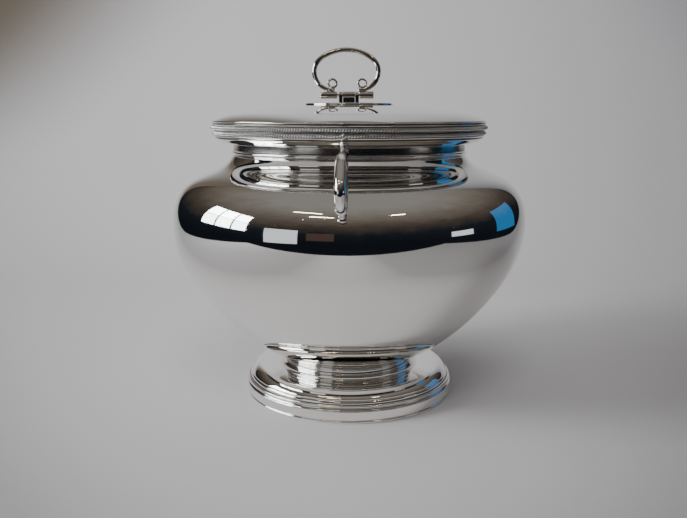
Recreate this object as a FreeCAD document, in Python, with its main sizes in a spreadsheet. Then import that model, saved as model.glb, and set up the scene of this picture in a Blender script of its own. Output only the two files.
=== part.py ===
import FreeCAD, Part
import math
import os
import Sketcher

# A lidded sugar bowl on a spool foot: raised sheet bowl and foot, cast rim mount, soldered ear
# handles, and a domed lift-off lid whose wire ring turns on a three-knuckle hinge.
# Millimetres. The axis of the bowl is Z, its foot stands on Z = 0 and the ear handles lie on Y.

CELLS = {
    # bowl
    "sheet": 0.9,               # wall of the raised bowl
    "belly_radius": 62.0,       # widest radius of the bowl
    "neck_radius": 40.7,        # outside of the neck, where the rim mount is soldered on
    "neck_level": 85.8,         # height of that solder joint
    # rim mount and rope borders
    "rim_level": 93.75,         # flat seat that the lid rests on
    "rim_radius": 46.9,         # lip under the bowl's rope border
    "mouth_radius": 39.6,       # clear opening of the mount
    "rope_radius": 46.8,        # centre circle of the bowl's rope border
    "rope_wire": 0.6,           # radius of that twisted wire
    # foot
    "foot_sheet": 0.8,
    "foot_radius": 37.4,        # outside of the foot's upright band
    "foot_band_level": 4.1,     # top of the upright band
    "foot_top_level": 10.05,    # flat crown of the foot's dome
    "stem_radius": 22.8,        # spool between the dome and the bowl
    "stem_level": 13.0,         # top of the spool
    # lid
    "lid_sheet": 0.8,
    "lid_radius": 47.6,         # edge of the dome
    "lid_edge_level": 97.0,
    "lid_crown_level": 102.9,   # top of the dome, under the finial plate
    "seat_gap": 0.1,            # parting line between lid and rim
    "lid_rope_radius": 47.2,
    "lid_rope_wire": 0.7,
    "bezel_radius": 39.2,       # tube that drops into the mouth
    "bezel_depth": 9.3,
    # hinge and ring
    "plate_radius": 15.5,       # plate under the hinge
    "plate_edge": 0.6,          # height of the plate's edge over the dome
    "plate_level": 103.4,       # flat top of the plate, which carries the hinge
    "hinge_level": 105.8,
    "pin_radius": 0.55,
    "pin_clearance": 0.05,
    "knuckle_radius": 1.3,
    "centre_half": 2.05,        # half length of the fixed middle knuckle
    "lug_start": 2.2,
    "lug_thickness": 1.25,
    "ring_shift": -0.6,         # the ring has end play and sits to one side
    "ring_lean": 0.35,          # the ring's loop is that much further to the left than its knuckles
    "ring_wire": 0.88,
    "ring_crown": 15.3,         # height of the ring's top centre line over the pin
    "ring_half_width": 11.2,
    "scroll_radius": 1.45,      # small eye that closes each end of the ring
    "scroll_wire": 0.5,
    "scroll_rise": 4.0,         # height of the eyes over the pin
    # ear handles
    "ear_level": 87.6,          # level upper limb
    "ear_start": 42.8,          # radius at which the upper limb leaves its knop
    "ear_straight": 17.7,
    "ear_wire": 1.6,
    "upper_knop": 1.45,
    "lower_knop": 1.2,
    "limb_bead": 1.8,
}


class Size:
    """A length that carries both its spreadsheet expression and its present value."""

    def __init__(self, text, value):
        self.text = text
        self.value = value

    def __add__(self, other):
        other = asSize(other)
        return Size("(" + self.text + " + " + other.text + ")", self.value + other.value)

    def __sub__(self, other):
        other = asSize(other)
        return Size("(" + self.text + " - " + other.text + ")", self.value - other.value)

    def __mul__(self, factor):
        return Size("(" + self.text + " * " + format(factor, ".6f") + ")", self.value * factor)


def asSize(number):
    if isinstance(number, Size):
        return number
    return Size(format(number, ".6f"), float(number))


def cell(alias):
    return Size("sizes." + alias, float(CELLS[alias]))


def fillSheet(doc):
    """One row per driving dimension: its name, and its value under an alias."""
    sheet = doc.addObject("Spreadsheet::Sheet", "sizes")
    for row, (alias, value) in enumerate(CELLS.items(), start=1):
        sheet.set("A" + str(row), alias.replace("_", " "))
        sheet.set("B" + str(row), str(value))
        sheet.setAlias("B" + str(row), alias)
    doc.recompute()


def originPlane(body, role):
    for feature in body.Origin.OriginFeatures:
        if feature.Role == role:
            return feature


def newBody(doc, label):
    body = doc.addObject("PartDesign::Body", label)
    body.Label = label
    return body


def newSketch(body, role, suffix):
    sketch = body.newObject("Sketcher::SketchObject", body.Name + "_" + suffix)
    sketch.AttachmentSupport = [(originPlane(body, role), "")]
    sketch.MapMode = "FlatFace"
    return sketch


def bind(sketch, constraint, name, size):
    """Adds a dimension and ties it to the sheet."""
    index = sketch.addConstraint(constraint)
    sketch.renameConstraint(index, name)
    sketch.setExpression("Constraints." + name, size.text)


def placePoint(sketch, edge, end, x, z, name):
    """Fixes a point of an edge by its distances from the sketch's axes."""
    x = asSize(x)
    z = asSize(z)
    if abs(x.value) < 1e-9:
        sketch.addConstraint(Sketcher.Constraint("PointOnObject", edge, end, -2))
    else:
        bind(sketch, Sketcher.Constraint("DistanceX", -1, 1, edge, end, x.value), name + "x", x)
    if abs(z.value) < 1e-9:
        sketch.addConstraint(Sketcher.Constraint("PointOnObject", edge, end, -1))
    else:
        bind(sketch, Sketcher.Constraint("DistanceY", -1, 1, edge, end, z.value), name + "z", z)


def endsOnAxis(start, end):
    """A crown or a round bottom: its arc starts or ends on the axis and is centred on it."""
    return abs(start.x) < 1e-9 or abs(end.x) < 1e-9


def arcMiddle(start, end, radius, bulge):
    """Middle of the shorter arc, on the left (+1) or right (-1) of the way from start to end."""
    if endsOnAxis(start, end):
        rise = abs(start.y - end.y)
        radius = ((start.x - end.x) ** 2 + rise ** 2) / (2 * rise)
    half = start.distanceToPoint(end) / 2
    rise = radius - math.sqrt(max(radius * radius - half * half, 0.0))
    along = (end - start).normalize()
    left = FreeCAD.Vector(-along.y, along.x, 0)
    return (start + end) * 0.5 + left * rise * bulge


def drawOutline(sketch, corners, closed=True):
    """Corners are (x, z) or, where an arc leaves the corner, (x, z, radius, bulge)."""
    points = [FreeCAD.Vector(asSize(c[0]).value, asSize(c[1]).value, 0) for c in corners]
    count = len(corners) if closed else len(corners) - 1
    for i in range(count):
        start = points[i]
        end = points[(i + 1) % len(points)]
        if len(corners[i]) == 2:
            sketch.addGeometry(Part.LineSegment(start, end), False)
        else:
            middle = arcMiddle(start, end, asSize(corners[i][2]).value, corners[i][3])
            sketch.addGeometry(Part.Arc(start, middle, end), False)
    starts = []
    ends = []
    for i in range(count):
        swapped = len(corners[i]) == 4 and corners[i][3] > 0
        starts.append(2 if swapped else 1)
        ends.append(1 if swapped else 2)
    for i in range(count if closed else count - 1):
        following = (i + 1) % count
        joint = Sketcher.Constraint("Coincident", i, ends[i], following, starts[following])
        sketch.addConstraint(joint)
    for i in range(count):
        placePoint(sketch, i, starts[i], corners[i][0], corners[i][1], "p" + str(i))
        if len(corners[i]) == 2:
            continue
        if endsOnAxis(points[i], points[(i + 1) % len(points)]):
            sketch.addConstraint(Sketcher.Constraint("PointOnObject", i, 3, -2))
        else:
            radius = asSize(corners[i][2])
            bind(sketch, Sketcher.Constraint("Radius", i, radius.value), "r" + str(i), radius)
    if not closed:
        placePoint(sketch, count - 1, ends[-1], corners[-1][0], corners[-1][1], "pend")


def turned(doc, label, corners, axis="V_Axis"):
    """A body made by turning one closed outline about an axis of its sketch."""
    body = newBody(doc, label)
    sketch = newSketch(body, "XZ_Plane", "outline")
    drawOutline(sketch, corners)
    turning = body.newObject("PartDesign::Revolution", label + "_turned")
    turning.Profile = sketch
    turning.ReferenceAxis = (sketch, [axis])
    turning.Angle = 360
    return body


def torus(doc, label, radius, wire, level):
    """A round wire closed on itself, lying level at a height."""
    ring = doc.addObject("Part::Torus", label)
    ring.Label = label
    ring.setExpression("Radius1", radius.text)
    ring.setExpression("Radius2", wire.text)
    ring.setExpression("Placement.Base.z", level.text)
    return ring


def tangentChain(start, heading, moves):
    """Follows lines (length, 0) and arcs (radius, turn in degrees) that run smoothly into each
    other. Gives for every joint its x, z and direction in degrees."""
    x, z = start
    stations = [(x, z, heading)]
    for extent, turn in moves:
        angle = math.radians(heading)
        if turn == 0:
            x += extent * math.cos(angle)
            z += extent * math.sin(angle)
        else:
            side = math.copysign(1.0, turn)
            after = math.radians(heading + turn)
            x += extent * side * (math.sin(after) - math.sin(angle))
            z -= extent * side * (math.cos(after) - math.cos(angle))
            heading += turn
        stations.append((x, z, heading))
    return stations


def sheetOutline(stations, moves, scale, level, thickness):
    """Closed outline of a sheet whose outside follows a chain. Every joint is a share of one
    driving size, hung from a level, and the inside lies a sheet's thickness to the right."""
    nominal = scale.value
    outside = []
    inside = []
    for x, z, heading in stations:
        across = math.radians(heading - 90)
        spanX = scale * (x / nominal)
        spanZ = level - scale * ((level.value - z) / nominal)
        innerX = spanX + thickness * math.cos(across)
        if abs(x) < 1e-9:
            spanX = asSize(0)
            innerX = asSize(0)
        innerZ = spanZ + thickness * math.sin(across)
        outside.append((spanX, spanZ))
        inside.append((innerX, innerZ))
    corners = []
    for i, (extent, turn) in enumerate(moves):
        if turn == 0:
            corners.append(outside[i])
        else:
            corners.append(outside[i] + (scale * (extent / nominal), -math.copysign(1, turn)))
    corners.append(outside[-1])
    for i in range(len(moves) - 1, -1, -1):
        extent, turn = moves[i]
        if turn == 0:
            corners.append(inside[i + 1])
        else:
            radius = scale * (extent / nominal) + thickness * math.copysign(1, turn)
            corners.append(inside[i + 1] + (radius, math.copysign(1, turn)))
    corners.append(inside[0])
    return corners


def makeBowl(doc):
    """Raised bowl: hollow neck, sloping shoulder, full belly and a rounded bottom."""
    moves = [
        (3.9, 68.0),       # hollow of the neck
        (10.4, 0),         # straight slope of the shoulder
        (14.2, -61.0),     # turn of the shoulder
        (34.2, -37.5),     # widest part
        (86.5, -21.0),     # long lower side
    ]
    stations = tangentChain((CELLS["neck_radius"], CELLS["neck_level"]), -90.0, moves)
    x, z, heading = stations[-1]
    turn = 180 + heading
    radius = x / math.sin(math.radians(turn))
    bottom = z - radius * (1 - math.cos(math.radians(turn)))
    moves.append((radius, -turn))      # rounded bottom, ending level on the axis
    stations.append((0.0, bottom, -180.0))
    outline = sheetOutline(stations, moves, cell("belly_radius"), cell("neck_level"), cell("sheet"))
    turned(doc, "bowl_body", outline)
    return bottom + radius, radius


def makeRim(doc):
    """Cast mount soldered on the neck: seat, lip, ovolo, neck band and bead, with a rope border."""
    lip = cell("rim_radius")
    top = cell("rim_level")
    rope = cell("rope_radius")
    wire = cell("rope_wire")
    mouth = cell("mouth_radius")
    neck = cell("neck_radius")
    joint = cell("neck_level")
    turned(doc, "rim_moulding", [
        (mouth, joint),
        (neck, joint),
        (neck + 0.1, joint + 0.25, 0.6, -1),        # bead at the foot of the mount
        (neck - 0.2, joint + 1.35),
        (neck - 0.4, joint + 1.5),
        (neck - 0.4, top - 4.6, 0.6, 1),            # upright neck band
        (neck + 0.3, top - 4.2),
        (neck + 1.2, top - 4.2, 4.4, -1),           # ovolo
        (lip - 0.5, top - 2.35),
        (lip - 0.7, top - 2.1),
        (lip - 0.2, top - 1.85),
        (lip, top - 1.4),
        (rope - wire, top - 1.35),
        (rope - wire, top),
        (mouth, top),
    ])
    torus(doc, "rim_rope_wire", rope, wire, top - wire - 0.1)


def makeFoot(doc, centre, radius):
    """Solder collar, spool stem, domed foot, moulded band and the wire it stands on. The collar's
    top follows the bowl's round bottom, whose centre height and radius are given."""
    stem = cell("stem_radius")
    stemTop = cell("stem_level")
    crown = cell("foot_top_level")
    band = cell("foot_radius")
    bandTop = cell("foot_band_level")
    wall = cell("foot_sheet")
    outer = stem + 0.05
    inner = stem - wall
    outerRise = centre - math.sqrt(radius ** 2 - outer.value ** 2) - stemTop.value
    innerRise = centre - math.sqrt(radius ** 2 - inner.value ** 2) - stemTop.value
    turned(doc, "foot_collar", [
        (inner, stemTop),
        (stem, stemTop),
        (outer, stemTop + 0.1, outerRise / 2, -1),
        (outer, stemTop + outerRise),
        (inner, stemTop + innerRise),
    ])
    turned(doc, "foot_stem", [
        (stem - wall, stemTop),
        (stem - wall, crown + 0.9),
        (stem + 0.2, crown - wall),
        (stem + 2.3, crown - wall),
        (stem + 2.3, crown, 2.0, 1),
        (stem + 0.45, crown + 1.05),
        (stem + 0.3, crown + 1.15, 0.55, -1),
        (stem + 0.1, crown + 2.15),
        (stem, stemTop - 0.5),
        (stem, stemTop),
    ])
    turned(doc, "foot_dome", [
        (stem + 2.3, crown),
        (band - 5.6, crown, 4.4, 1),
        (band - 1.75, crown - 2.35),
        (band - 1.75, crown - 2.7),
        (band - 1.75 - wall, crown - 2.7),
        (band - 1.75 - wall, crown - 2.35, 3.6, -1),
        (band - 5.6, crown - wall),
        (stem + 2.3, crown - wall),
    ])
    turned(doc, "foot_band", [
        (band - 2.6, 1.0),
        (band - 0.35, 1.0),
        (band, 1.35),
        (band, bandTop),
        (band - 0.1, bandTop + 0.2, 1.0, 1),
        (band - 0.65, bandTop + 1.05),
        (band - 0.75, bandTop + 1.15),
        (band - 0.45, bandTop + 1.35, 0.42, -1),
        (band - 0.75, bandTop + 2.0),
        (band - 1.25, bandTop + 2.1),
        (band - 1.2, bandTop + 2.3, 1.2, -1),
        (band - 1.6, bandTop + 3.25),
        (band - 1.75, bandTop + 3.25),
        (band - 2.6, bandTop + 3.25),
    ])
    turned(doc, "foot_base_wire", [
        (band - 1.4, 0),
        (band - 0.5, 0, 0.52, -1),
        (band - 0.5, 1.0),
        (band - 1.4, 1.0),
    ])


def makeLid(doc):
    """Domed cover, edge band with its rope border, and the bezel that drops into the mouth."""
    wall = cell("lid_sheet")
    edge = cell("lid_radius")
    edgeLevel = cell("lid_edge_level")
    crown = cell("lid_crown_level")
    seat = cell("rim_level") + cell("seat_gap")
    rope = cell("lid_rope_radius")
    wire = cell("lid_rope_wire")
    bezel = cell("bezel_radius")
    turned(doc, "lid_dome", [
        (0, crown, 250.0, 1),                       # broad crown
        (edge - 7.6, crown - 3.22, 22.8, 1),        # turn-down near the edge
        (edge, edgeLevel, 0.35, 1),                 # rolled edge
        (edge - 0.15, edgeLevel - 0.5),
        (edge - 0.7, edgeLevel - 0.5),
        (edge - 1.1, edgeLevel - 0.1, 22.0, -1),
        (edge - 7.6, crown - 3.22 - wall, 249.2, -1),
        (0, crown - wall),
    ])
    turned(doc, "lid_edge_band", [
        (rope - 1.9, seat),
        (rope - 0.4, seat),
        (rope - 0.3, seat + 0.15),
        (rope - wire, seat + 0.3),
        (rope - wire, seat + 1.75),
        (rope - 0.2, seat + 1.8, 0.5, -1),
        (rope - 0.2, edgeLevel - 0.5),
        (rope - 1.9, edgeLevel - 0.5),
    ])
    torus(doc, "lid_rope_wire", rope, wire, seat + wire + 0.3)
    turned(doc, "lid_bezel", [
        (bezel - 0.7, cell("rim_level") - cell("bezel_depth")),
        (bezel, cell("rim_level") - cell("bezel_depth")),
        (bezel, seat),
        (rope - 1.9, seat),
        (rope - 1.9, seat + 0.7),
        (bezel - 0.7, seat + 0.7),
    ])


def makeHingeFixed(doc):
    """Plate soldered on the crown, with two lugs and the fixed middle knuckle."""
    crown = cell("lid_crown_level")
    plate = cell("plate_radius")
    top = cell("plate_level")
    level = cell("hinge_level")
    bore = cell("pin_radius") + cell("pin_clearance")
    knuckle = cell("knuckle_radius")
    drop = plate.value ** 2 / 500.0                 # fall of the crown at the plate's edge
    turned(doc, "finial_plate", [
        (0, crown, 250.0, 1),
        (plate, crown - drop),
        (plate, crown - drop + cell("plate_edge") - 0.15),
        (plate - 0.15, crown - drop + cell("plate_edge"), 160.0, -1),
        (4.6, top),
        (0, top),
    ])
    middle = newBody(doc, "centre_knuckle")
    outline = newSketch(middle, "XZ_Plane", "outline")
    half = cell("centre_half")
    drawOutline(outline, [(half * -1, bore), (half, bore), (half, knuckle), (half * -1, knuckle)])
    barrel = middle.newObject("PartDesign::Revolution", "centre_knuckle_barrel")
    barrel.Profile = outline
    barrel.ReferenceAxis = (outline, ["H_Axis"])
    barrel.Angle = 360
    block = newSketch(middle, "YZ_Plane", "block")
    low = top - level
    blockHalf = 1.1                                 # the block is narrower than the barrel on it
    blockTop = -0.85                                # and ends inside it, below the pin's hole
    drawOutline(block, [
        (-blockHalf, low),
        (blockHalf, low),
        (blockHalf, blockTop),
        (-blockHalf, blockTop),
    ])
    standing = middle.newObject("PartDesign::Pad", "centre_knuckle_block")
    standing.Profile = block
    standing.Midplane = True
    standing.setExpression("Length", (half * 2).text)
    middle.setExpression("Placement.Base.z", level.text)
    for side, label in ((-1, "left_lug"), (1, "right_lug")):
        lug = newBody(doc, label)
        face = newSketch(lug, "YZ_Plane", "outline")
        cheekHalf = knuckle + 0.2
        drawOutline(face, [
            (cheekHalf * -1, low),
            (cheekHalf, low),
            (cheekHalf, 0, cheekHalf + 0.02, -1),    # rounded over the pin
            (cheekHalf * -1, 0),
        ])
        hole = face.addGeometry(Part.Circle(FreeCAD.Vector(0, 0, 0), FreeCAD.Vector(0, 0, 1), bore.value))
        face.addConstraint(Sketcher.Constraint("Coincident", hole, 3, -1, 1))
        bind(face, Sketcher.Constraint("Radius", hole, bore.value), "bore", bore)
        cheek = lug.newObject("PartDesign::Pad", label + "_cheek")
        cheek.Profile = face
        cheek.setExpression("Length", "sizes.lug_thickness")
        start = cell("lug_start") if side > 0 else (cell("lug_start") + cell("lug_thickness")) * -1
        lug.setExpression("Placement.Base.x", start.text)
        lug.setExpression("Placement.Base.z", level.text)


def makeRing(doc):
    """What turns on the lid: two knuckles on their pin and the oval wire ring with its scrolls."""
    level = cell("hinge_level")
    shift = cell("ring_shift")
    pin = cell("pin_radius")
    knuckle = cell("knuckle_radius")
    leftEnd = -9.3                                  # ends of the pin and of the outer knuckles
    rightEnd = 9.15
    bevel = 0.15
    spans = {"left_knuckle": (leftEnd, -3.5), "right_knuckle": (4.25, rightEnd)}
    for label, (start, end) in spans.items():
        body = turned(doc, label, [
            (start, pin),
            (end, pin),
            (end, knuckle - bevel),
            (end - bevel, knuckle),
            (start + bevel, knuckle),
            (start, knuckle - bevel),
        ], "H_Axis")
        body.setExpression("Placement.Base.x", shift.text)
        body.setExpression("Placement.Base.z", level.text)
    rod = turned(doc, "hinge_pin", [
        (leftEnd, 0),
        (rightEnd, 0),
        (rightEnd, pin),
        (leftEnd, pin),
    ], "H_Axis")
    rod.setExpression("Placement.Base.x", shift.text)
    rod.setExpression("Placement.Base.z", level.text)

    wire = cell("ring_wire")
    crown = cell("ring_crown")
    half = cell("ring_half_width")
    foot = 1.75                                     # centre line of the ring's feet over the pin
    lower = 6.2                                     # the lower corners are quarter circles
    upper = 5.6
    pad = 0.35                                      # straight end of each foot
    widest = asSize(foot + lower)
    body = newBody(doc, "ring_handle")
    path = newSketch(body, "XZ_Plane", "path")
    rise = crown.value - widest.value
    run = half.value - upper
    over = (run * run + rise * rise - upper * upper) / (2 * (rise - upper))
    tip = math.atan2(run, over - rise)
    shoulderX = over * math.sin(tip)
    shoulderZ = crown - over * (1 - math.cos(tip))
    drawOutline(path, [
        (half - (lower + pad), foot),
        (half - lower, foot, lower, -1),
        (half, widest, upper, -1),
        (shoulderX, shoulderZ, over, -1),
        (-shoulderX, shoulderZ, upper, -1),
        (half * -1, widest, lower, -1),
        (half * -1 + lower, foot),
        (half * -1 + (lower + pad), foot),
    ], closed=False)
    section = newSketch(body, "YZ_Plane", "section")
    section.setExpression("AttachmentOffset.Base.z", (half - (lower + pad)).text)
    wireSection(section, foot, wire)
    sweep = body.newObject("PartDesign::AdditivePipe", "ring_handle_wire")
    sweep.Profile = section
    sweep.Spine = (path, ["Edge" + str(i) for i in range(1, 8)])
    body.setExpression("Placement.Base.x", (shift - cell("ring_lean")).text)
    body.setExpression("Placement.Base.z", level.text)
    for side, label in ((-1, "left_scroll"), (1, "right_scroll")):
        curl = torus(doc, label, cell("scroll_radius"), cell("scroll_wire"), level + cell("scroll_rise"))
        curl.Placement.Rotation = FreeCAD.Rotation(FreeCAD.Vector(1, 0, 0), 90)
        curl.setExpression("Placement.Base.x", (shift + 5.2 * side).text)


def wireSection(sketch, height, radius):
    """A circle on the sketch's upright axis."""
    height = asSize(height)
    centre = FreeCAD.Vector(0, height.value, 0)
    circle = sketch.addGeometry(Part.Circle(centre, FreeCAD.Vector(0, 0, 1), radius.value))
    placePoint(sketch, circle, 3, 0, height, "centre")
    bind(sketch, Sketcher.Constraint("Radius", circle, radius.value), "wire", radius)


def makeEars(doc):
    """Two ear handles, each with a knop on the neck band and one on the shoulder."""
    start = cell("ear_start")
    level = cell("ear_level")
    moves = [
        (CELLS["ear_straight"], 0),     # level limb
        (13.0, -60.0),                  # outer bend
        (4.2, -105.0),                  # turn back under
        (7.8, 0),                       # lower limb
    ]
    stations = tangentChain((CELLS["ear_start"], CELLS["ear_level"]), 0.0, moves)
    corners = []
    for i, (x, z, heading) in enumerate(stations):
        place = (start + (x - start.value), level + (z - level.value))
        if i < len(moves) and moves[i][1] != 0:
            place = place + (moves[i][0], 1)
        corners.append(place)
    for side, angle in (("front", -90), ("rear", 90)):
        body = newBody(doc, side + "_handle")
        path = newSketch(body, "XZ_Plane", "path")
        drawOutline(path, corners, closed=False)
        section = newSketch(body, "YZ_Plane", "section")
        section.setExpression("AttachmentOffset.Base.z", start.text)
        wireSection(section, level, cell("ear_wire"))
        sweep = body.newObject("PartDesign::AdditivePipe", side + "_handle_wire")
        sweep.Profile = section
        sweep.Spine = (path, ["Edge" + str(i) for i in range(1, len(moves) + 1)])
        body.Placement = FreeCAD.Placement(
            FreeCAD.Vector(0, 0, 0), FreeCAD.Rotation(FreeCAD.Vector(0, 0, 1), angle))
        outward = -1 if side == "front" else 1
        upper, lower = stations[0], stations[-1]
        # radius and height of each knop from the end of the wire it sits on
        knop(doc, side + "_upper_knop", "upper_knop", outward * (upper[0] - 1.2), upper[1] + 0.75)
        knop(doc, side + "_lower_knop", "lower_knop", outward * (lower[0] - 1.05), lower[1] + 0.1)
        knop(doc, side + "_limb_bead", "limb_bead", outward * (lower[0] + 3.4), lower[1] + 0.9)


def knop(doc, label, radiusCell, y, z):
    ball = doc.addObject("Part::Sphere", label)
    ball.Label = label
    ball.setExpression("Radius", cell(radiusCell).text)
    ball.Placement.Base = FreeCAD.Vector(0, y, z)


def subParts(doc):
    """Everything that is a piece of its own: the bodies and the stand-alone primitives."""
    pieces = []
    for item in doc.Objects:
        if item.TypeId in ("PartDesign::Body", "Part::Torus", "Part::Sphere"):
            pieces.append(item)
    return pieces


def checkAndWrite(doc):
    for item in doc.Objects:
        if "Invalid" in item.State or "Error" in item.State:
            raise RuntimeError(item.Name + " failed: " + str(item.State))
    os.makedirs("parts", exist_ok=True)
    for piece in subParts(doc):
        shape = piece.Shape
        if shape.isNull() or not shape.isValid() or len(shape.Solids) != 1:
            raise RuntimeError(piece.Label + " is not one valid solid")
        shape.exportStep(os.path.join("parts", piece.Label + ".step"))
        box = shape.BoundBox
        print(piece.Label, "volume", round(shape.Volume, 1), "z", round(box.ZMin, 2), round(box.ZMax, 2))


def main():
    doc = FreeCAD.newDocument("SugarBowl")
    fillSheet(doc)
    centre, radius = makeBowl(doc)
    makeRim(doc)
    makeFoot(doc, centre, radius)
    makeLid(doc)
    makeHingeFixed(doc)
    makeRing(doc)
    makeEars(doc)
    doc.recompute()
    checkAndWrite(doc)


main()
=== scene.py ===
import math
import bmesh
import bpy
import numpy as np
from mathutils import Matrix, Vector


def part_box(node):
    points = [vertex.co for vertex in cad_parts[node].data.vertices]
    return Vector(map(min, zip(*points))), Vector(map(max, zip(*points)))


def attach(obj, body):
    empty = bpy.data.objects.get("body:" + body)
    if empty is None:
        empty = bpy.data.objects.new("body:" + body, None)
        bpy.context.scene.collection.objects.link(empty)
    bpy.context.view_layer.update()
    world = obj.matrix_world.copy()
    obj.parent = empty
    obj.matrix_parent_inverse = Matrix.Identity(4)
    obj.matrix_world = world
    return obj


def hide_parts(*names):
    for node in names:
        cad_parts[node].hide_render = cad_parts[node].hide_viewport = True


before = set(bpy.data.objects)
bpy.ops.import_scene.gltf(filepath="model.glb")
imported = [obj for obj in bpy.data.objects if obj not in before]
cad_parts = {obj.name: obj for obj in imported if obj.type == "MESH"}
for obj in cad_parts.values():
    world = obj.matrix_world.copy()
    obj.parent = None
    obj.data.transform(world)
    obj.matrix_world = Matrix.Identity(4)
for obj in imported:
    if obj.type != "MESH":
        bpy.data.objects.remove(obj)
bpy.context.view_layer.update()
mm = 0.001


def lowCorner(node):
    return [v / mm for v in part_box(node)[0]]


def highCorner(node):
    return [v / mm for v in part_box(node)[1]]


# arc from one point to another, bulging to the left (+1) or right (-1) of the way:
# its centre lies on the chord's middle line, and the angle runs evenly between the ends
def arcRun(start, end, radius, side, steps=14):
    start = np.array(start, float)
    end = np.array(end, float)
    chord = end - start
    half = np.hypot(*chord) / 2
    left = np.array([-chord[1], chord[0]]) / (2 * half)
    centre = (start + end) / 2 - left * side * math.sqrt(max(radius ** 2 - half ** 2, 0.0))
    first = math.atan2(start[1] - centre[1], start[0] - centre[0])
    sweep = -side * 2 * math.asin(min(half / radius, 1.0))
    angle = first + sweep * np.linspace(0, 1, steps + 1)
    return np.stack([centre[0] + radius * np.cos(angle), centre[1] + radius * np.sin(angle)], 1)


# outline of corners (x, z) or, where an arc leaves the corner, (x, z, radius, side)
def outlineRun(corners, closed=True):
    runs = []
    count = len(corners) if closed else len(corners) - 1
    for i in range(count):
        here = corners[i]
        there = corners[(i + 1) % len(corners)]
        if len(here) == 4:
            runs.append(arcRun(here[:2], there[:2], here[2], here[3])[:-1])
        else:
            runs.append(np.array([here[:2]], float))
    if not closed:
        runs.append(np.array([corners[-1][:2]], float))
    return np.concatenate(runs)


# rounds every corner of a closed outline: the point slides along (1-t)^2 a + 2t(1-t) corner + t^2 b,
# where a and b lie on the two sides, at most reach away from the corner
def softened(points, reach, steps=3):
    before = np.roll(points, 1, axis=0) - points
    after = np.roll(points, -1, axis=0) - points
    lengthBefore = np.linalg.norm(before, axis=1, keepdims=True)
    lengthAfter = np.linalg.norm(after, axis=1, keepdims=True)
    a = points + before / lengthBefore * np.minimum(reach, lengthBefore * 0.4)
    b = points + after / lengthAfter * np.minimum(reach, lengthAfter * 0.4)
    t = np.linspace(0, 1, steps + 1)[None, :, None]
    bend = (1 - t) ** 2 * a[:, None] + 2 * t * (1 - t) * points[:, None] + t ** 2 * b[:, None]
    return bend.reshape(-1, 2)


# smooth run of lines (length, 0) and arcs (radius, turn in degrees), sampled every spacing,
# with the direction at every point
def chainRun(start, heading, moves, spacing):
    x, z = start
    xs, zs, hs = [[x]], [[z]], [[math.radians(heading)]]
    for extent, turn in moves:
        angle = math.radians(heading)
        length = extent if turn == 0 else abs(extent * math.radians(turn))
        share = np.linspace(0, 1, max(2, round(length / spacing)) + 1)[1:]
        if turn == 0:
            xs.append(x + extent * math.cos(angle) * share)
            zs.append(z + extent * math.sin(angle) * share)
            hs.append(np.full(len(share), angle))
        else:
            side = math.copysign(1.0, turn)
            after = angle + math.radians(turn) * share
            xs.append(x + extent * side * (np.sin(after) - math.sin(angle)))
            zs.append(z - extent * side * (np.cos(after) - math.cos(angle)))
            hs.append(after)
            heading += turn
        x = xs[-1][-1]
        z = zs[-1][-1]
    return np.stack([np.concatenate(xs), np.concatenate(zs)], 1), np.concatenate(hs)


# eases the change of curve where two arcs meet: every point becomes the bell-weighted mean of
# its neighbours, with the run mirrored past its ends so that they stay where they are
def eased(run, width):
    reach = int(width * 3)
    weight = np.exp(-0.5 * (np.arange(-reach, reach + 1) / width) ** 2)
    weight /= weight.sum()
    before = 2 * run[0] - run[1:reach + 1][::-1]
    after = 2 * run[-1] - run[-reach - 1:-1][::-1]
    longer = np.concatenate([before, run, after])
    columns = [np.convolve(longer[:, k], weight, mode="valid") for k in range(run.shape[1])]
    return np.stack(columns, 1)


# quads between neighbouring rows and columns of a grid, closed round where asked
def gridFaces(rows, columns, wrapRows, wrapColumns):
    r = np.arange(rows if wrapRows else rows - 1)[:, None]
    c = np.arange(columns if wrapColumns else columns - 1)[None, :]
    r2 = (r + 1) % rows
    c2 = (c + 1) % columns
    quads = np.stack([r * columns + c, r * columns + c2, r2 * columns + c2, r2 * columns + c], -1)
    return quads.reshape(-1, 4)


def meshPiece(name, points, faces, groove=None):
    mesh = bpy.data.meshes.new(name)
    mesh.from_pydata(points.reshape(-1, 3).tolist(), [], faces.tolist())
    if groove is not None:
        layer = mesh.attributes.new("groove", "FLOAT", "POINT")
        layer.data.foreach_set("value", groove.astype(np.float32).ravel())
    closing = bmesh.new()
    closing.from_mesh(mesh)
    bmesh.ops.remove_doubles(closing, verts=closing.verts, dist=1e-7)
    bmesh.ops.recalc_face_normals(closing, faces=closing.faces)
    closing.to_mesh(mesh)
    closing.free()
    mesh.shade_smooth()
    piece = bpy.data.objects.new(name, mesh)
    bpy.context.scene.collection.objects.link(piece)
    return piece


# how hollow the outline is at each point: the turn between its two sides, spread a little,
# positive where the metal folds inwards and dirt stays
def hollowness(run, closed, spread=2):
    before = run - np.roll(run, 1, axis=0)
    after = np.roll(run, -1, axis=0) - run
    turn = np.arctan2(before[:, 0] * after[:, 1] - before[:, 1] * after[:, 0], (before * after).sum(1))
    if not closed:
        turn[[0, -1]] = 0
    area = 0.5 * np.sum(run[:, 0] * np.roll(run[:, 1], -1) - np.roll(run[:, 0], -1) * run[:, 1])
    hollow = np.clip(-turn * np.sign(area), 0, None)
    kernel = np.ones(2 * spread + 1)
    return np.clip(np.convolve(hollow, kernel, mode="same"), 0, 1)


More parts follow.
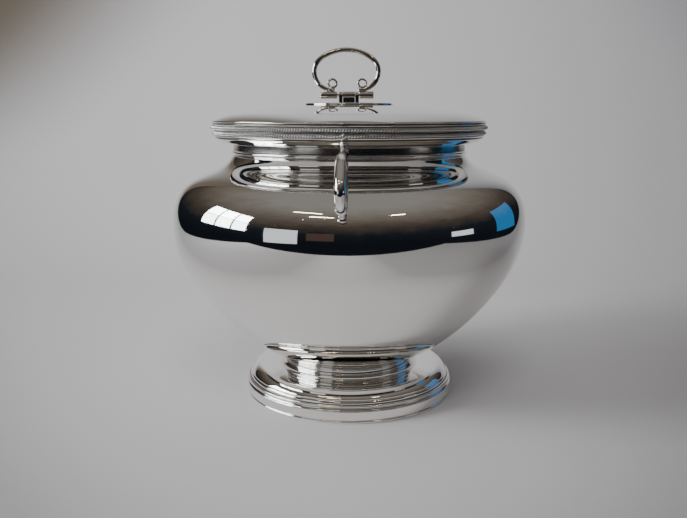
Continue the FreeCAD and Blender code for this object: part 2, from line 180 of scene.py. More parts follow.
# surface of revolution: the outline (r, z) is carried round the axis, x = r cos a, y = r sin a
def turnedPiece(name, outline, segments=288, axis="Z", place=(0, 0, 0), groove=None):
    angle = np.linspace(0, 2 * math.pi, segments, endpoint=False)[None, :]
    along = np.broadcast_to(outline[:, 0:1], (len(outline), segments))
    up = np.broadcast_to(outline[:, 1:2], (len(outline), segments))
    if axis == "Z":
        points = np.stack([along * np.cos(angle), along * np.sin(angle), up], -1)
    else:
        points = np.stack([along, up * np.cos(angle), up * np.sin(angle)], -1)
    points = (points + np.array(place)) * mm
    faces = gridFaces(len(outline), segments, True, True)
    hollow = hollowness(outline, True) if groove is None else groove
    spread = np.broadcast_to(hollow[:, None], (len(outline), segments))
    return meshPiece(name, points, faces, spread)


# round wire carried along a flat path: each ring is the path's point plus its radius times
# cos(a) across the path and sin(a) out of the path's plane, with domed ends
def wirePiece(name, path, radii, sides=28, flatten=1.0, plane="XZ", place=(0, 0, 0)):
    slope = np.gradient(path, axis=0)
    slope /= np.linalg.norm(slope, axis=1, keepdims=True)
    dome = np.sin(np.linspace(0, math.pi / 2, 7))
    reach = np.cos(np.linspace(0, math.pi / 2, 7))[:, None]
    head = path[0] - slope[0] * radii[0] * reach
    tail = path[-1] + slope[-1] * radii[-1] * reach
    path = np.concatenate([head, path[1:-1], tail[::-1]])
    slope = np.concatenate([np.repeat(slope[:1], 7, 0), slope[1:-1], np.repeat(slope[-1:], 7, 0)])
    radii = np.concatenate([radii[0] * dome, radii[1:-1], radii[-1] * dome[::-1]])
    angle = np.linspace(0, 2 * math.pi, sides, endpoint=False)
    across = radii[:, None] * np.cos(angle)[None, :]
    out = radii[:, None] * np.sin(angle)[None, :] * flatten
    x = path[:, 0:1] - slope[:, 1:2] * across
    z = path[:, 1:2] + slope[:, 0:1] * across
    if plane == "XZ":
        points = np.stack([x, out, z], -1)
    elif plane == "front":
        points = np.stack([out, -x, z], -1)
    else:
        points = np.stack([out, x, z], -1)
    points = (points + np.array(place)) * mm
    return meshPiece(name, points, gridFaces(len(path), sides, False, True), np.zeros(points.shape[:2]))


# the strands' waist and roundness, and how the painted shade in the gap between them fades
ropeValues = {
    "waist": 0.38,
    "roundness": 0.7,
    "shade": 2.4,
    "fade": 3.2,
}


# twisted border: a ring whose section is two round strands that turn as they go round.
# the section's reach at angle b is the wire's radius times |cos(b - n a)| to the power of roundness,
# n being the twists, and never under the waist's share of the wire
def ropePiece(name, radius, wire, level, twists, sides=18, steps=8):
    around = np.linspace(0, 2 * math.pi, twists * 2 * steps, endpoint=False)[:, None]
    section = np.linspace(0, 2 * math.pi, sides, endpoint=False)[None, :]
    away = np.abs(np.cos(section - around * twists))
    reach = wire * np.maximum(ropeValues["waist"], away ** ropeValues["roundness"])
    r = radius + reach * np.cos(section)
    z = level + reach * np.sin(section)
    points = np.stack([r * np.cos(around), r * np.sin(around), z], -1) * mm
    faces = gridFaces(points.shape[0], sides, True, True)
    # the groove mask paints shade into the gap between the two strands, where their reach is least
    return meshPiece(name, points, faces, np.clip(ropeValues["shade"] - ropeValues["fade"] * away, 0, 1))


# ball drawn out along one direction: x, y, z are its three half widths
def ballPiece(name, centre, widths, rings=24, segments=36):
    polar = np.linspace(0, math.pi, rings + 1)[:, None]
    around = np.linspace(0, 2 * math.pi, segments, endpoint=False)[None, :]
    ball = np.stack([np.sin(polar) * np.cos(around), np.sin(polar) * np.sin(around),
                     np.cos(polar) + 0 * around], -1)
    points = (ball * np.array(widths) + np.array(centre)) * mm
    return meshPiece(name, points, gridFaces(rings + 1, segments, False, True), np.zeros(points.shape[:2]))


def socket(group, name, kind, way, value=None):
    made = group.interface.new_socket(name=name, in_out=way, socket_type=kind)
    if value is not None:
        made.default_value = value
    return made


class Wiring:
    def __init__(self, tree):
        self.tree = tree

    def node(self, kind, **values):
        made = self.tree.nodes.new(kind)
        for key, value in values.items():
            setattr(made, key, value)
        return made

    def link(self, out, into):
        self.tree.links.new(out, into)

    def math(self, operation, first, second=None, third=None):
        made = self.node("ShaderNodeMath", operation=operation)
        for place, value in enumerate((first, second, third)):
            if value is None:
                continue
            if isinstance(value, (int, float)):
                made.inputs[place].default_value = value
            else:
                self.link(value, made.inputs[place])
        return made.outputs[0]

    def noise(self, vector, scale, detail=2.0, rough=0.5):
        made = self.node("ShaderNodeTexNoise")
        self.link(vector, made.inputs["Vector"])
        if isinstance(scale, (int, float)):
            made.inputs["Scale"].default_value = scale
        else:
            self.link(scale, made.inputs["Scale"])
        made.inputs["Detail"].default_value = detail
        made.inputs["Roughness"].default_value = rough
        return made.outputs["Fac"]


# scales count per metre, depths are in millimetres, limits are levels of the noise
polishValues = {
    "lineScale": 1400.0,
    "lineDrift": 1.5,
    "hairTurn": (0.5, 0.3, 0.9),
    "hairScale": (60.0, 1500.0, 1500.0),
    "hairLimit": 0.70,
    "hairSheen": 0.05,
    "hairDepth": 0.00025,
    "pitScale": 900.0,
    "pitLimit": 0.775,
    "pitDepth": 0.002,
    "cloudScale": 38.0,
    "smearScale": 160.0,
    "tarnishAndShadeBase": 0.55,
    "tarnishAndShadeSheen": 0.25,
}


# polish: what years of rubbing do to plated silver. gives the sheen's roughness, a height for
# the waves of hand work, turning lines, hairlines and pits, and a mask of tarnish left in hollows
# and of painted shade in the rope's gaps and under the lid's rolled edge
def buildPolishGroup():
    values = polishValues
    group = bpy.data.node_groups.new("polish", "ShaderNodeTree")
    socket(group, "Position", "NodeSocketVector", "INPUT")
    socket(group, "Hollow", "NodeSocketFloat", "INPUT", 0.0)
    socket(group, "Wave Depth", "NodeSocketFloat", "INPUT", 0.03)
    socket(group, "Wave Scale", "NodeSocketFloat", "INPUT", 45.0)
    socket(group, "Line Depth", "NodeSocketFloat", "INPUT", 0.0004)
    socket(group, "Sheen", "NodeSocketFloat", "INPUT", 0.03)
    socket(group, "Bloom", "NodeSocketFloat", "INPUT", 0.05)
    socket(group, "Roughness", "NodeSocketFloat", "OUTPUT")
    socket(group, "Height", "NodeSocketFloat", "OUTPUT")
    socket(group, "Dirt", "NodeSocketFloat", "OUTPUT")
    w = Wiring(group)
    inlet = w.node("NodeGroupInput")
    outlet = w.node("NodeGroupOutput")
    place = inlet.outputs["Position"]
    apart = w.node("ShaderNodeSeparateXYZ")
    w.link(place, apart.inputs[0])
    x, y, z = apart.outputs
    radius = w.math("SQRT", w.math("ADD", w.math("MULTIPLY", x, x), w.math("MULTIPLY", y, y)))
    rings = w.node("ShaderNodeCombineXYZ")
    w.link(w.math("MULTIPLY", radius, values["lineScale"]), rings.inputs[0])
    w.link(w.math("MULTIPLY", z, values["lineScale"]), rings.inputs[1])
    w.link(w.math("MULTIPLY", w.math("ARCTAN2", y, x), values["lineDrift"]), rings.inputs[2])
    lines = w.noise(rings.outputs[0], 1.0, 3.0, 0.6)
    waves = w.noise(place, inlet.outputs["Wave Scale"], 1.0, 0.4)
    stretched = w.node("ShaderNodeMapping")
    stretched.inputs["Rotation"].default_value = values["hairTurn"]
    stretched.inputs["Scale"].default_value = values["hairScale"]
    w.link(place, stretched.inputs["Vector"])
    hairs = w.noise(stretched.outputs[0], 1.0, 2.0, 0.7)
    scratch = w.math("GREATER_THAN", hairs, values["hairLimit"])
    specks = w.noise(place, values["pitScale"], 1.0, 0.5)
    pits = w.math("GREATER_THAN", specks, values["pitLimit"])
    cloud = w.noise(place, values["cloudScale"], 4.0, 0.6)
    smear = w.noise(place, values["smearScale"], 3.0, 0.6)
    veil = w.math("MULTIPLY", w.math("MULTIPLY", cloud, smear), inlet.outputs["Bloom"])
    rough = w.math("ADD", inlet.outputs["Sheen"], veil)
    rough = w.math("ADD", rough, w.math("MULTIPLY", scratch, values["hairSheen"]))
    # tarnish left in hollows, and painted shade where the groove attribute marks the rope's gaps and the
    # band under the lid's edge
    tarnishAndShade = w.math("MULTIPLY", inlet.outputs["Hollow"], w.math("ADD", values["tarnishAndShadeBase"], smear))
    tarnishAndShadeClamped = w.math("MINIMUM", tarnishAndShade, 1.0)
    rough = w.math("ADD", rough, w.math("MULTIPLY", tarnishAndShadeClamped, values["tarnishAndShadeSheen"]))
    height = w.math("MULTIPLY", waves, inlet.outputs["Wave Depth"])
    height = w.math("ADD", height, w.math("MULTIPLY", lines, inlet.outputs["Line Depth"]))
    height = w.math("SUBTRACT", height, w.math("MULTIPLY", scratch, values["hairDepth"]))
    height = w.math("SUBTRACT", height, w.math("MULTIPLY", pits, values["pitDepth"]))
    w.link(rough, outlet.inputs["Roughness"])
    w.link(height, outlet.inputs["Height"])
    w.link(tarnishAndShadeClamped, outlet.inputs["Dirt"])
    return group


polishGroup = buildPolishGroup()


# one silver finish: waves and lines in mm, sheen and bloom as roughness; the second colour is
# tarnish in hollows and painted shade where the groove attribute marks it
def silver(name, waveDepth, waveScale, lineDepth, sheen, bloom, tint=(0.93, 0.915, 0.885),
           tarnishAndShade=(0.16, 0.13, 0.10)):
    material = bpy.data.materials.new(name)
    material.use_nodes = True
    tree = material.node_tree
    w = Wiring(tree)
    shader = tree.nodes["Principled BSDF"]
    coords = w.node("ShaderNodeTexCoord")
    hollow = w.node("ShaderNodeAttribute", attribute_name="groove")
    polish = w.node("ShaderNodeGroup", node_tree=polishGroup)
    w.link(coords.outputs["Object"], polish.inputs["Position"])
    w.link(hollow.outputs["Fac"], polish.inputs["Hollow"])
    polish.inputs["Wave Depth"].default_value = waveDepth
    polish.inputs["Wave Scale"].default_value = waveScale
    polish.inputs["Line Depth"].default_value = lineDepth
    polish.inputs["Sheen"].default_value = sheen
    polish.inputs["Bloom"].default_value = bloom
    colour = w.node("ShaderNodeMix", data_type="RGBA")
    colour.inputs["A"].default_value = (*tint, 1)
    colour.inputs["B"].default_value = (*tarnishAndShade, 1)
    w.link(polish.outputs["Dirt"], colour.inputs["Factor"])
    w.link(colour.outputs["Result"], shader.inputs["Base Color"])
    w.link(polish.outputs["Roughness"], shader.inputs["Roughness"])
    shader.inputs["Metallic"].default_value = 1.0
    bump = w.node("ShaderNodeBump")
    bump.inputs["Strength"].default_value = 1.0
    bump.inputs["Distance"].default_value = mm
    w.link(polish.outputs["Height"], bump.inputs["Height"])
    w.link(bump.outputs["Normal"], shader.inputs["Normal"])
    return material


bowlSilver = silver("bowlSilver", 0.05, 30.0, 0.0002, 0.02, 0.05)
lidSilver = silver("lidSilver", 0.05, 35.0, 0.0002, 0.02, 0.06)
mountSilver = silver("mountSilver", 0.02, 110.0, 0.0002, 0.03, 0.06)
footSilver = silver("footSilver", 0.025, 90.0, 0.0004, 0.03, 0.06)
# the rope's near-black second colour is painted shade in the gaps between its strands
ropeSilver = silver("ropeSilver", 0.0, 300.0, 0.0, 0.22, 0.05, (0.97, 0.95, 0.92), (0.006, 0.005, 0.004))
handleSilver = silver("handleSilver", 0.04, 160.0, 0.0, 0.04, 0.08)
hingeSilver = silver("hingeSilver", 0.01, 260.0, 0.0, 0.05, 0.10, (0.84, 0.81, 0.77))
ringSilver = silver("ringSilver", 0.012, 220.0, 0.0, 0.05, 0.08, (0.80, 0.77, 0.73))


def place(piece, body, slot, material, *nodes):
    piece.data.materials.append(material)
    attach(piece, body)
    if nodes:
        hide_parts(*nodes)
    return piece


bowlValues = {
    "wall": 0.9,
    "neck": 40.7,
    "belly": 61.88,
    "spacing": 0.75,
    "moves": [(3.9, 68.0), (10.4, 0), (14.2, -61.0), (34.2, -37.5), (86.5, -21.0)],
    "easing": 3.5,
}


def makeBowl():
    values = bowlValues
    top = highCorner("bowl_body")[2]
    neck = values["neck"] * highCorner("bowl_body")[0] / values["belly"]
    run, headings = chainRun((neck, top), -90.0, values["moves"], values["spacing"])
    turn = math.pi + headings[-1]
    bottom, _ = chainRun(run[-1], math.degrees(headings[-1]),
                         [(run[-1, 0] / math.sin(turn), -math.degrees(turn))], values["spacing"])
    run = np.concatenate([run, bottom[1:]])
    run[-1, 0] = 0.0
    run = eased(run, values["easing"])
    run[-1, 0] = 0.0
    slope = np.gradient(run, axis=0)
    slope /= np.linalg.norm(slope, axis=1, keepdims=True)
    inside = run + np.stack([slope[:, 1], -slope[:, 0]], 1) * values["wall"]
    inside[-1, 0] = 0.0
    inside = np.concatenate([inside[:1], inside[2:-1:2], inside[-1:]])[::-1]
    outline = np.concatenate([run, inside])
    piece = turnedPiece("bowlShell", outline, groove=np.zeros(len(outline)))
    place(piece, "bowl", "bowl_silver", bowlSilver, "bowl_body")


makeBowl()
print("bowl shell done")

rimValues = {
    "soften": 0.14,
    "twists": 172,
    "seamWidths": (0.42, 0.34, 0.95),
}


def makeRim():
    low = lowCorner("rim_moulding")
    high = highCorner("rim_moulding")
    joint = low[2]
    top = high[2]
    lip = high[0]
    neck = lip - 6.2
    mouth = lip - 7.3
    outline = outlineRun([
        (mouth, joint),
        (neck, joint),
        (neck + 0.1, joint + 0.25, 0.6, -1),
        (neck - 0.2, joint + 1.35),
        (neck - 0.4, joint + 1.5),
        (neck - 0.4, top - 4.6, 0.6, 1),
        (neck + 0.3, top - 4.2),
        (neck + 1.2, top - 4.2, 4.4, -1),
        (lip - 0.5, top - 2.35),
        (lip - 0.7, top - 2.1),
        (lip - 0.2, top - 1.85),
        (lip, top - 1.4),
        (lip - 0.7, top - 1.35),
        (lip - 0.7, top),
        (mouth, top),
    ])
    piece = turnedPiece("rimMount", softened(outline, rimValues["soften"]))
    place(piece, "bowl", "mount_silver", mountSilver, "rim_moulding")
    wireLow = lowCorner("rim_rope_wire")
    wireHigh = highCorner("rim_rope_wire")
    wire = (wireHigh[2] - wireLow[2]) / 2
    rope = ropePiece("rimRope", wireHigh[0] - wire, wire, wireHigh[2] - wire, rimValues["twists"])
    place(rope, "bowl", "rope_silver", ropeSilver, "rim_rope_wire")
    seam = ballPiece("rimSeam", (0, -wireHigh[0] + 0.15, wireHigh[2] - wire), rimValues["seamWidths"])
    place(seam, "bowl", "rope_silver", ropeSilver)


makeRim()
print("rim mount and rope border done")

footValues = {
    "soften": 0.12,
    "wall": 0.8,
    "spool": 22.8,
    "bandTop": 4.1,
}


def makeFoot():
    soften = footValues["soften"]
    wall = footValues["wall"]
    stem = lowCorner("foot_collar")[2]
    collarTop = highCorner("foot_collar")[2]
    radius = footValues["spool"]
    crown = highCorner("foot_dome")[2]
    band = highCorner("foot_band")[0]
    bandTop = footValues["bandTop"]
    collar = outlineRun([
        (radius - wall, stem),
        (radius, stem),
        (radius + 0.05, stem + 0.1, 0.52, -1),
        (radius + 0.05, collarTop),
        (radius - wall, collarTop - 0.35),
    ])
    place(turnedPiece("footCollar", softened(collar, 0.05)),
          "bowl", "foot_silver", footSilver, "foot_collar")
    spool = outlineRun([
        (radius - wall, stem),
        (radius - wall, crown + 0.9),
        (radius + 0.2, crown - wall),
        (radius + 2.3, crown - wall),
        (radius + 2.3, crown, 2.0, 1),
        (radius + 0.45, crown + 1.05),
        (radius + 0.3, crown + 1.15, 0.55, -1),
        (radius + 0.1, crown + 2.15),
        (radius, stem - 0.5),
        (radius, stem),
    ])
    place(turnedPiece("footStem", softened(spool, 0.08)), "bowl", "foot_silver", footSilver, "foot_stem")
    dome = outlineRun([
        (radius + 2.3, crown),
        (band - 5.6, crown, 4.4, 1),
        (band - 1.75, crown - 2.35),
        (band - 1.75, crown - 2.7),
        (band - 1.75 - wall, crown - 2.7),
        (band - 1.75 - wall, crown - 2.35, 3.6, -1),
        (band - 5.6, crown - wall),
        (radius + 2.3, crown - wall),
    ])
    place(turnedPiece("footDome", softened(dome, soften)), "bowl", "foot_silver", footSilver, "foot_dome")
    upright = outlineRun([
        (band - 2.6, 1.0),
        (band - 0.35, 1.0),
        (band, 1.35),
        (band, bandTop),
        (band - 0.1, bandTop + 0.2, 1.0, 1),
        (band - 0.65, bandTop + 1.05),
        (band - 0.75, bandTop + 1.15),
        (band - 0.45, bandTop + 1.35, 0.42, -1),
        (band - 0.75, bandTop + 2.0),
        (band - 1.25, bandTop + 2.1),
        (band - 1.2, bandTop + 2.3, 1.2, -1),
        (band - 1.6, bandTop + 3.25),
        (band - 1.75, bandTop + 3.25),
        (band - 2.6, bandTop + 3.25),
    ])
    place(turnedPiece("footBand", softened(upright, soften)),
          "bowl", "foot_silver", footSilver, "foot_band")
    wire = outlineRun([
        (band - 1.4, 0),
        (band - 0.5, 0, 0.52, -1),
        (band - 0.5, 1.0),
        (band - 1.4, 1.0),
    ])
    place(turnedPiece("footBaseWire", softened(wire, 0.05)),
          "bowl", "foot_silver", footSilver, "foot_base_wire")


makeFoot()
print("foot done")

earValues = {
    "moves": [(17.7, 0), (13.0, -60.0), (4.2, -105.0), (7.8, 0)],
    "thin": 1.25,
    "thick": 1.6,
    "level": 87.6,
    "sunk": 0.25,
    "beadWidths": (0.92, 0.5, 0.92),
}


def makeEars():
    values = earValues
    for side, sign in (("front", -1), ("rear", 1)):
        knopBox = lowCorner(side + "_upper_knop"), highCorner(side + "_upper_knop")
        start = max(abs(knopBox[0][1]), abs(knopBox[1][1])) - values["sunk"]
        run, _ = chainRun((start, values["level"]), 0.0, values["moves"], 0.3)
        run = eased(run, 5)
        share = np.linspace(0, 1, len(run))
        swell = np.sin(math.pi * np.clip((share - 0.02) / 0.9, 0, 1)) ** 0.7
        radii = values["thin"] + (values["thick"] - values["thin"]) * swell
        handle = wirePiece(side + "Handle", run, radii, 36, 1.0, side)
        place(handle, "bowl", "handle_silver", handleSilver, side + "_handle")
        for part in ("upper_knop", "lower_knop", "limb_bead"):
            node = side + "_" + part
            low = np.array(lowCorner(node))
            high = np.array(highCorner(node))
            widths = (high - low) / 2
            if part == "limb_bead":
                widths = widths * np.array(values["beadWidths"])
            name = side + "".join(word.capitalize() for word in part.split("_"))
            ball = ballPiece(name, (low + high) / 2, widths)
            place(ball, "bowl", "handle_silver", handleSilver, node)


makeEars()
print("ear handles done")

lidValues = {
    "wall": 0.8,
    "crownRadius": 250.0,
    "turnRadius": 22.8,
    "plateEdge": 0.6,
    "bezel": 39.2,
    "twists": 174,
}


def makeLid():
    values = lidValues
    wall = values["wall"]
    crown = highCorner("lid_dome")[2]
    edge = highCorner("lid_rope_wire")[0] - 0.3
    edgeLevel = crown - 5.9
    bigRadius = values["crownRadius"]
    bend = edge - 7.6
    across = np.linspace(0, bend, 70)
    dome = np.stack([across, crown - (bigRadius - np.sqrt(bigRadius ** 2 - across ** 2))], 1)
    turn = arcRun(dome[-1], (edge, edgeLevel), values["turnRadius"], 1, 24)
    outside = eased(np.concatenate([dome, turn[1:]]), 2.5)
    outside[0, 0] = 0.0
    lip = np.array([(edge + 0.08, edgeLevel - 0.15), (edge + 0.05, edgeLevel - 0.32),
                    (edge - 0.15, edgeLevel - 0.5), (edge - 0.7, edgeLevel - 0.5),
                    (edge - 1.1, edgeLevel - 0.1)])
    innerTurn = arcRun((edge - 1.1, edgeLevel - 0.1), (bend, dome[-1, 1] - wall), 22.0, -1, 12)[1:]
    innerDome = (dome - np.array([0, wall]))[::-3]
    innerDome = np.concatenate([innerDome[1:], [[0.0, crown - wall]]])
    outline = np.concatenate([outside, lip, innerTurn, innerDome])
    place(turnedPiece("lidDome", outline, groove=np.zeros(len(outline))),
          "lid", "lid_silver", lidSilver, "lid_dome")
    seat = lowCorner("lid_edge_band")[2]
    rope = highCorner("lid_rope_wire")[0] - 0.7
    band = outlineRun([
        (rope - 1.9, seat),
        (rope - 0.4, seat),
        (rope - 0.3, seat + 0.15),
        (rope - 0.7, seat + 0.3),
        (rope - 0.7, seat + 1.75),
        (rope - 0.2, seat + 1.8, 0.5, -1),
        (rope - 0.2, edgeLevel - 0.5),
        (rope - 1.9, edgeLevel - 0.5),
    ])
    band = softened(band, 0.08)
    # painted shadow on the band's top, under the lid's rolled edge, added to the tarnish of its hollows
    paintedShadowUnderEdge = np.clip((band[:, 1] - edgeLevel + 1.1) / 0.3, 0, 1)
    place(turnedPiece("lidEdgeBand", band, groove=np.clip(hollowness(band, True) + paintedShadowUnderEdge, 0, 1)),
          "lid", "mount_silver", mountSilver, "lid_edge_band")
    wireLow = lowCorner("lid_rope_wire")
    wireHigh = highCorner("lid_rope_wire")
    wire = (wireHigh[2] - wireLow[2]) / 2
    border = ropePiece("lidRope", wireHigh[0] - wire, wire, wireHigh[2] - wire, values["twists"])
    place(border, "lid", "rope_silver", ropeSilver, "lid_rope_wire")
    foot = lowCorner("lid_bezel")[2]
    bezel = values["bezel"]
    tube = outlineRun([
        (bezel - 0.7, foot),
        (bezel, foot),
        (bezel, seat, 0.4, 1),
        (bezel + 0.3, seat + 0.02),
        (rope - 1.9, seat + 0.02),
        (rope - 1.9, seat + 0.7),
        (bezel - 0.7, seat + 0.7),
    ])
    place(turnedPiece("lidBezel", softened(tube, 0.15)), "lid", "lid_silver", lidSilver, "lid_bezel")
    plate = highCorner("finial_plate")[0]
    top = highCorner("finial_plate")[2]
    across = np.linspace(0, plate, 24)
    under = np.stack([across, crown - (bigRadius - np.sqrt(bigRadius ** 2 - across ** 2))], 1)
    shoulder = under[-1, 1] + values["plateEdge"]
    rim = arcRun((plate, shoulder - 0.3), (plate - 0.3, shoulder), 0.32, -1, 5)
    rimLow = arcRun((plate - 0.2, under[-1, 1]), (plate, under[-1, 1] + 0.2), 0.22, -1, 4)
    over = arcRun((plate - 0.3, shoulder), (4.6, top), 160.0, -1, 30)[1:]
    outline = np.concatenate([under[:-1], rimLow, rim, over, [[0.0, top]]])
    place(turnedPiece("finialPlate", outline), "lid", "lid_silver", lidSilver, "finial_plate")


makeLid()
print("lid done")

hingeValues = {
    "nodes": ["centre_knuckle", "left_lug", "right_lug"],
    "bevel": 0.12,
    "bore": 0.56,
}


def barrel(name, node, body):
    low = lowCorner(node)
    high = highCorner(node)
    outer = (high[1] - low[1]) / 2
    level = (high[2] + low[2]) / 2
    bore = hingeValues["bore"]
    outline = outlineRun([
        (low[0], bore), (high[0], bore), (high[0], outer - 0.1), (high[0] - 0.1, outer),
        (low[0] + 0.1, outer), (low[0], outer - 0.1),
    ])
    piece = turnedPiece(name, softened(outline, 0.12), 72, "X", (0, 0, level))
    place(piece, body, "hinge_silver", hingeSilver, node)


def makeHinge():
    for node in hingeValues["nodes"]:
        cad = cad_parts[node]
        cad.data.materials.clear()
        cad.data.materials.append(hingeSilver)
        edges = cad.modifiers.new("edges", "BEVEL")
        edges.width = hingeValues["bevel"] * mm
        edges.segments = 3
        edges.limit_method = "ANGLE"
        edges.angle_limit = math.radians(40)
        edges.harden_normals = True
    barrel("leftKnuckle", "left_knuckle", "ring")
    barrel("rightKnuckle", "right_knuckle", "ring")
    low = lowCorner("hinge_pin")
    high = highCorner("hinge_pin")
    radius = (high[1] - low[1]) / 2
    level = (high[2] + low[2]) / 2
    rod = outlineRun([
        (low[0], 0), (high[0], 0), (high[0], radius * 0.7, 0.4, -1),
        (high[0] - 0.12, radius), (low[0] + 0.12, radius), (low[0], radius * 0.7),
    ])
    piece = turnedPiece("hingePin", rod, 48, "X", (0, 0, level), np.zeros(len(rod)))
    place(piece, "ring", "hinge_silver", hingeSilver, "hinge_pin")


makeHinge()
print("hinge done")

ringValues = {
    "lower": 6.2,
    "upper": 5.6,
    "foot": 1.75,
    "pad": 0.35,
    "crownWire": 0.88,
    "sideWire": 0.86,
    "footWire": 0.7,
    "scrollWire": (0.5, 0.36),
}


def makeRing():
    values = ringValues
    low = lowCorner("ring_handle")
    high = highCorner("ring_handle")
    pinLow = lowCorner("hinge_pin")
    pinHigh = highCorner("hinge_pin")
    level = (pinLow[2] + pinHigh[2]) / 2
    shift = (low[0] + high[0]) / 2
    half = (high[0] - low[0]) / 2 - values["crownWire"]
    crown = high[2] - values["crownWire"] - level
    lower = values["lower"]
    upper = values["upper"]
    rise = crown - values["foot"] - lower
    run = half - upper
    over = (run * run + rise * rise - upper * upper) / (2 * (rise - upper))
    tip = math.degrees(math.atan2(run, over - rise))
    pad = values["pad"]
    moves = [(pad, 0), (lower, 90.0), (upper, 90.0 - tip), (over, 2 * tip), (upper, 90.0 - tip),
             (lower, 90.0), (pad, 0)]
    path, _ = chainRun((half - lower - pad, values["foot"]), 0.0, moves, 0.25)
    path = eased(path, 4)
    share = np.linspace(-1, 1, len(path))
    radii = np.interp(np.abs(share), [0, 0.45, 0.75, 1.0],
                      [values["crownWire"], values["sideWire"], 0.8, values["footWire"]])
    wire = wirePiece("ringHandle", path, radii, 28, 1.0, "XZ", (shift, 0, level))
    place(wire, "ring", "ring_silver", ringSilver, "ring_handle")
    for side, node in ((-1, "left_scroll"), (1, "right_scroll")):
        boxLow = lowCorner(node)
        boxHigh = highCorner(node)
        centre = ((boxLow[0] + boxHigh[0]) / 2, 0, (boxLow[2] + boxHigh[2]) / 2)
        radius = (boxHigh[0] - boxLow[0]) / 2 - values["scrollWire"][0]
        turn = np.radians(np.linspace(-110, 235, 90))
        shrink = radius * (1 - 0.06 * np.linspace(0, 1, 90))
        curl = np.stack([-side * shrink * np.cos(turn), shrink * np.sin(turn)], 1)
        taper = np.linspace(values["scrollWire"][0], values["scrollWire"][1], 90)
        piece = wirePiece(node.split("_")[0] + "Scroll", curl, taper, 20, 1.1, "XZ", centre)
        place(piece, "ring", "ring_silver", ringSilver, node)


makeRing()
print("ring done")

stageValues = {
    "frontEdge": -0.25,
    "halfWidth": 0.40,
    "floorReach": 0.27,
    "frontLimit": -0.11,
    "backStart": 0.18,
    "backRadius": 0.38,
    "backTop": 0.95,
    "paper": (0.60, 0.59, 0.60),
    "leftShade": (0.15, 0.125, 0.095),  # painted shade, high on the left of the paper
    "rightShade": (0.30, 0.335, 0.39),
}


# floor that turns up into a backdrop: a flat run, a quarter circle and an upright run, drawn out in x
def makeStage():
    values = stageValues
    flat = np.stack([np.linspace(values["frontEdge"], values["backStart"], 30), np.zeros(30)], 1)
    angle = np.linspace(0, math.pi / 2, 24)[1:]
    sweep = np.stack([values["backStart"] + values["backRadius"] * np.sin(angle),
                      values["backRadius"] * (1 - np.cos(angle))], 1)
    upright = np.array([[values["backStart"] + values["backRadius"], values["backTop"]]])
    profile = np.concatenate([flat, sweep, upright])
    across = np.linspace(-values["halfWidth"], values["halfWidth"], 12)[None, :]
    points = np.stack([across + 0 * profile[:, 0:1], profile[:, 0:1] + 0 * across,
                       profile[:, 1:2] + 0 * across], -1)
    mesh = bpy.data.meshes.new("stageSheet")
    mesh.from_pydata(points.reshape(-1, 3).tolist(), [], gridFaces(len(profile), 12, False, False).tolist())
    mesh.shade_smooth()
    sheet = bpy.data.objects.new("stageSheet", mesh)
    bpy.context.scene.collection.objects.link(sheet)
    paper = bpy.data.materials.new("stagePaper")
    paper.use_nodes = True
    w = Wiring(paper.node_tree)
    shader = paper.node_tree.nodes["Principled BSDF"]
    coords = w.node("ShaderNodeTexCoord")
    apart = w.node("ShaderNodeSeparateXYZ")
    w.link(coords.outputs["Object"], apart.inputs[0])
    # how far up the backdrop and out to a side a point lies
    rise = w.math("MINIMUM", w.math("MULTIPLY", apart.outputs[2], 0.45), 0.11)
    shades = []
    for side, near, far in ((-1.0, 0.22, 0.47), (1.0, 0.27, 0.62)):
        out = w.math("ADD", w.math("MULTIPLY", apart.outputs[0], side), rise)
        out = w.math("MULTIPLY", out, w.math("MAXIMUM", w.math("MULTIPLY", apart.outputs[1], 1.9), 0.75))
        shade = w.node("ShaderNodeMapRange", interpolation_type="SMOOTHSTEP")
        shade.inputs["From Min"].default_value = near
        shade.inputs["From Max"].default_value = far
        w.link(out, shade.inputs["Value"])
        shades.append(shade.outputs["Result"])
    # painted shade falling off towards the front corners: x / (y + reach) grows to the sides, 0.1 / (y +
    # reach) to the front
    depth = w.math("ADD", w.math("MAXIMUM", apart.outputs[1], values["frontLimit"]), values["floorReach"])
    nearness = w.math("DIVIDE", 1.0, depth)
    sideways = w.math("POWER", w.math("MULTIPLY", w.math("ABSOLUTE", apart.outputs[0]), nearness), 2.0)
    forwards = w.math("POWER", w.math("MULTIPLY", nearness, 0.1), 2.0)
    paintedFalloff = w.math("ADD", w.math("MULTIPLY", sideways, 1.3), w.math("MULTIPLY", forwards, 0.8))
    paintedFalloff = w.math("SUBTRACT", 1.06, w.math("MINIMUM", paintedFalloff, 0.55))
    grain = w.noise(coords.outputs["Object"], 900.0, 2.0, 0.5)
    ramp = w.node("ShaderNodeMix", data_type="RGBA")
    paperColour = np.array(values["paper"])
    ramp.inputs["A"].default_value = (*(paperColour * 0.985), 1)
    ramp.inputs["B"].default_value = (*(paperColour * 1.015), 1)
    w.link(grain, ramp.inputs["Factor"])
    colour = ramp.outputs["Result"]
    # paints shade into the paper's colour: dark brown high on the left, bluish grey to the right
    for shade, tint in zip(shades, (values["leftShade"], values["rightShade"])):
        paintedShade = w.node("ShaderNodeMix", data_type="RGBA")
        w.link(shade, paintedShade.inputs["Factor"])
        w.link(colour, paintedShade.inputs["A"])
        paintedShade.inputs["B"].default_value = (*tint, 1)
        colour = paintedShade.outputs["Result"]
    dimmed = w.node("ShaderNodeVectorMath", operation="SCALE")
    w.link(colour, dimmed.inputs[0])
    w.link(paintedFalloff, dimmed.inputs["Scale"])
    w.link(dimmed.outputs[0], shader.inputs["Base Color"])
    shader.inputs["Roughness"].default_value = 0.85
    shader.inputs["Specular IOR Level"].default_value = 0.2
    mesh.materials.append(paper)


makeStage()

